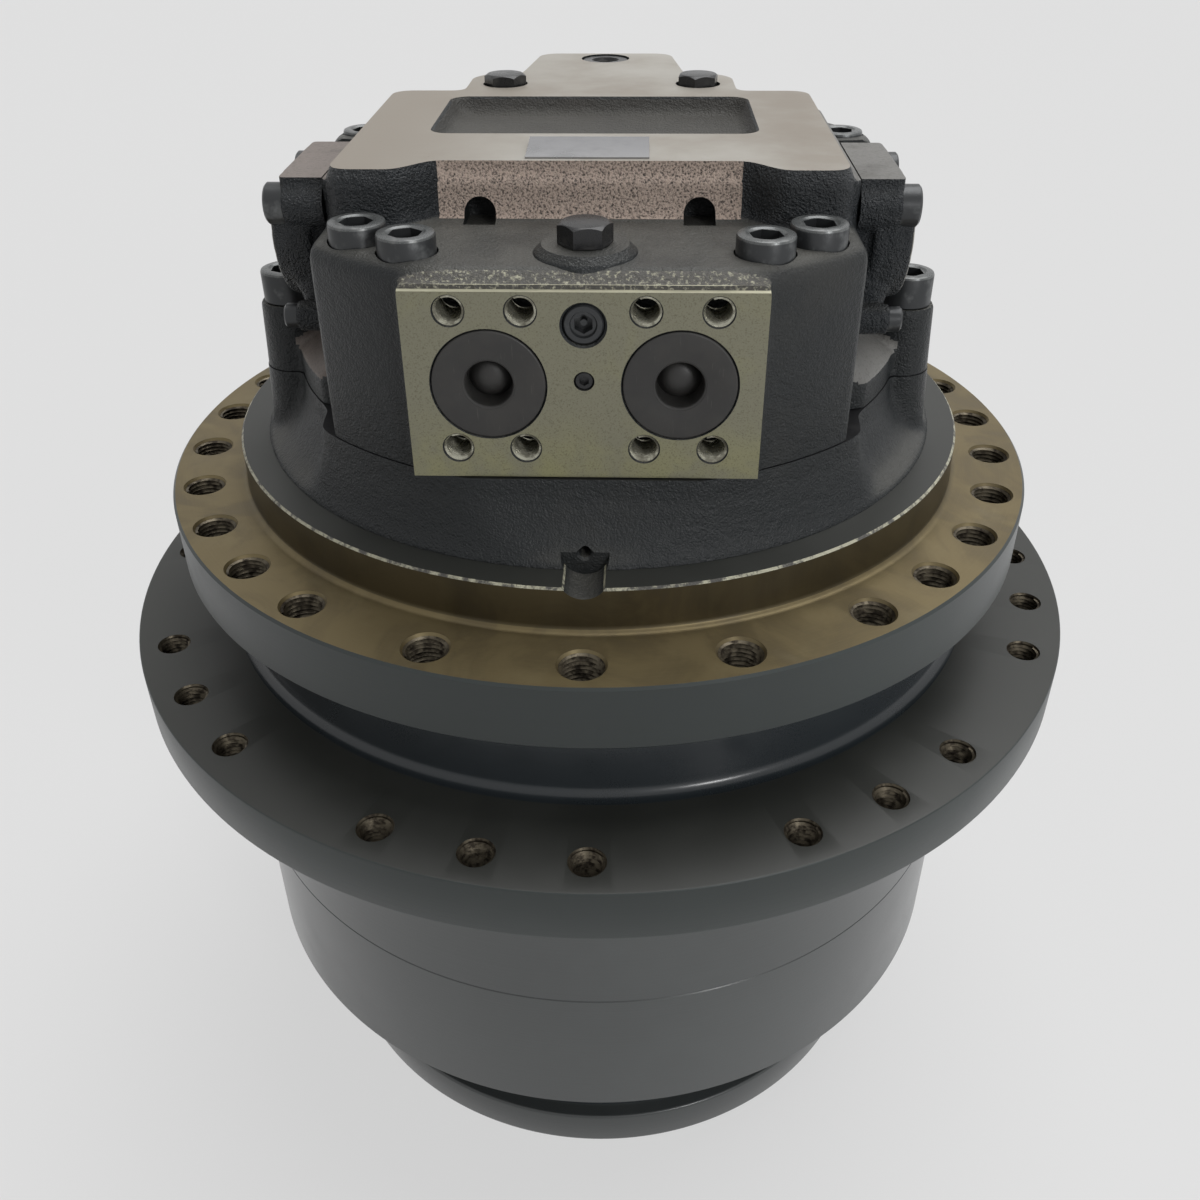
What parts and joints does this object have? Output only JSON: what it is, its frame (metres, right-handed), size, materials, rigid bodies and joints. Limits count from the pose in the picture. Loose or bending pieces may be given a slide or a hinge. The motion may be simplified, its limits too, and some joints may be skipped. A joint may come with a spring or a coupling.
{
  "type": "excavator final drive",
  "caption": "Excavator final drive: a hydraulic travel motor with a ported cover on a turning hub with a sprocket flange, over a two-stage planetary gear train.",
  "frame": {"origin": "on the axis of the drive, at the face of the end cover that it stands on", "axes": "+Z along the axis towards the motor, -Y towards the port face"},
  "size_m": [0.592, 0.592, 0.6368],
  "materials": {
    "painted_casting": "dark grey enamel over a rough casting",
    "painted_steel": "dark grey enamel over a turned face",
    "bare_casting": "machined and oiled where it mates, painted elsewhere",
    "ground_steel": "ground",
    "gear_steel": "machined and hardened",
    "black_bolt": "black oxide",
    "black_plastic": "moulded, matte",
    "friction_facing": "sintered facing",
    "bearing_bronze": "machined"
  },
  "bodies": {
    "case": {"motor_case": "painted_casting", "frame_flange": "bare_casting", "rear_cover": "painted_casting", "side_cap_left": "painted_casting", "side_cap_right": "painted_casting", "port_plug_left": "black_plastic", "port_plug_right": "black_plastic", "front_hex_plug": "black_bolt", "top_hex_plug_left": "black_bolt", "top_hex_plug_right": "black_bolt", "tongue_plug": "black_bolt", "lower_bearing_inner_race": "gear_steel", "upper_bearing_inner_race": "gear_steel", "preload_nut": "gear_steel", "seal_ring_fixed": "gear_steel", "carrier_2": "gear_steel", "planet_pin_2_1": "gear_steel", "planet_pin_2_2": "gear_steel", "planet_pin_2_3": "gear_steel", "swash_plate": "gear_steel", "valve_plate": "bearing_bronze", "shaft_bearing_lower": "bearing_bronze", "shaft_bearing_upper": "bearing_bronze", "brake_discs": "friction_facing", "cover_bolt_01": "black_bolt", "cover_bolt_02": "black_bolt", "cover_bolt_03": "black_bolt", "cover_bolt_04": "black_bolt", "cover_bolt_05": "black_bolt", "cover_bolt_06": "black_bolt", "cover_bolt_07": "black_bolt", "cover_bolt_08": "black_bolt", "cover_bolt_09": "black_bolt", "cover_bolt_10": "black_bolt"},
    "hub": {"sprocket_hub": "painted_steel", "sprocket_flange": "painted_steel", "ring_gear": "painted_steel", "end_cover": "painted_casting", "lower_bearing_outer_race": "gear_steel", "upper_bearing_outer_race": "gear_steel", "seal_ring_turning": "gear_steel"},
    "shaft": {"drive_shaft": "gear_steel", "sun_gear_1": "gear_steel", "cylinder_block": "gear_steel", "shoe_retainer": "bearing_bronze"},
    "first_carrier": {"carrier_1": "gear_steel", "sun_gear_2": "gear_steel", "planet_pin_1_1": "gear_steel", "planet_pin_1_2": "gear_steel", "planet_pin_1_3": "gear_steel"},
    "first_planet_1": {"planet_gear_1_1": "gear_steel"},
    "first_planet_2": {"planet_gear_1_2": "gear_steel"},
    "first_planet_3": {"planet_gear_1_3": "gear_steel"},
    "second_planet_1": {"planet_gear_2_1": "gear_steel"},
    "second_planet_2": {"planet_gear_2_2": "gear_steel"},
    "second_planet_3": {"planet_gear_2_3": "gear_steel"},
    "lower_ball_row": {"lower_bearing_balls": "bearing_bronze"},
    "upper_ball_row": {"upper_bearing_balls": "bearing_bronze"},
    "brake": {"brake_piston": "gear_steel"},
    "spool": {"counterbalance_spool": "ground_steel"}
  },
  "joints": [
    {"name": "hub_spin", "type": "hinge", "parent": "case", "child": "hub", "pos_m": [0, 0, 0.26], "axis": [0, 0, 1], "continuous": true},
    {"name": "shaft_spin", "type": "hinge", "parent": "case", "child": "shaft", "pos_m": [0, 0, 0.3], "axis": [0, 0, 1], "continuous": true},
    {"name": "first_carrier_spin", "type": "hinge", "parent": "case", "child": "first_carrier", "pos_m": [0, 0, 0.14], "axis": [0, 0, 1], "continuous": true},
    {"name": "first_planet_1_spin", "type": "hinge", "parent": "first_carrier", "child": "first_planet_1", "pos_m": [0.12, 0, 0.15], "axis": [0, 0, 1], "continuous": true},
    {"name": "first_planet_2_spin", "type": "hinge", "parent": "first_carrier", "child": "first_planet_2", "pos_m": [-0.06, 0.10392, 0.15], "axis": [0, 0, 1], "continuous": true},
    {"name": "first_planet_3_spin", "type": "hinge", "parent": "first_carrier", "child": "first_planet_3", "pos_m": [-0.06, -0.10392, 0.15], "axis": [0, 0, 1], "continuous": true},
    {"name": "second_planet_1_spin", "type": "hinge", "parent": "case", "child": "second_planet_1", "pos_m": [0.12, 0, 0.15], "axis": [0, 0, 1], "continuous": true},
    {"name": "second_planet_2_spin", "type": "hinge", "parent": "case", "child": "second_planet_2", "pos_m": [-0.06, 0.10392, 0.15], "axis": [0, 0, 1], "continuous": true},
    {"name": "second_planet_3_spin", "type": "hinge", "parent": "case", "child": "second_planet_3", "pos_m": [-0.06, -0.10392, 0.15], "axis": [0, 0, 1], "continuous": true},
    {"name": "lower_ball_row_spin", "type": "hinge", "parent": "case", "child": "lower_ball_row", "pos_m": [0, 0, 0.258], "axis": [0, 0, 1], "continuous": true},
    {"name": "upper_ball_row_spin", "type": "hinge", "parent": "case", "child": "upper_ball_row", "pos_m": [0, 0, 0.344], "axis": [0, 0, 1], "continuous": true},
    {"name": "brake_release", "type": "slide", "parent": "case", "child": "brake", "axis": [0, 0, 1], "range_m": [0, 0.0025], "stiffness_N_per_m": 5000, "springref_m": -0.004},
    {"name": "spool_shift", "type": "slide", "parent": "case", "child": "spool", "axis": [1, 0, 0], "range_m": [-0.008, 0.008], "stiffness_N_per_m": 2000}
  ],
  "couplings": [
    {"joint": "shaft_spin", "follows": "hub_spin", "ratio": -24},
    {"joint": "first_carrier_spin", "follows": "hub_spin", "ratio": -4},
    {"joint": "first_planet_1_spin", "follows": "hub_spin", "ratio": 13.333},
    {"joint": "first_planet_2_spin", "follows": "hub_spin", "ratio": 13.333},
    {"joint": "first_planet_3_spin", "follows": "hub_spin", "ratio": 13.333},
    {"joint": "second_planet_1_spin", "follows": "hub_spin", "ratio": 2.6667},
    {"joint": "second_planet_2_spin", "follows": "hub_spin", "ratio": 2.6667},
    {"joint": "second_planet_3_spin", "follows": "hub_spin", "ratio": 2.6667},
    {"joint": "lower_ball_row_spin", "follows": "hub_spin", "ratio": 0.52384},
    {"joint": "upper_ball_row_spin", "follows": "hub_spin", "ratio": 0.52384}
  ]
}
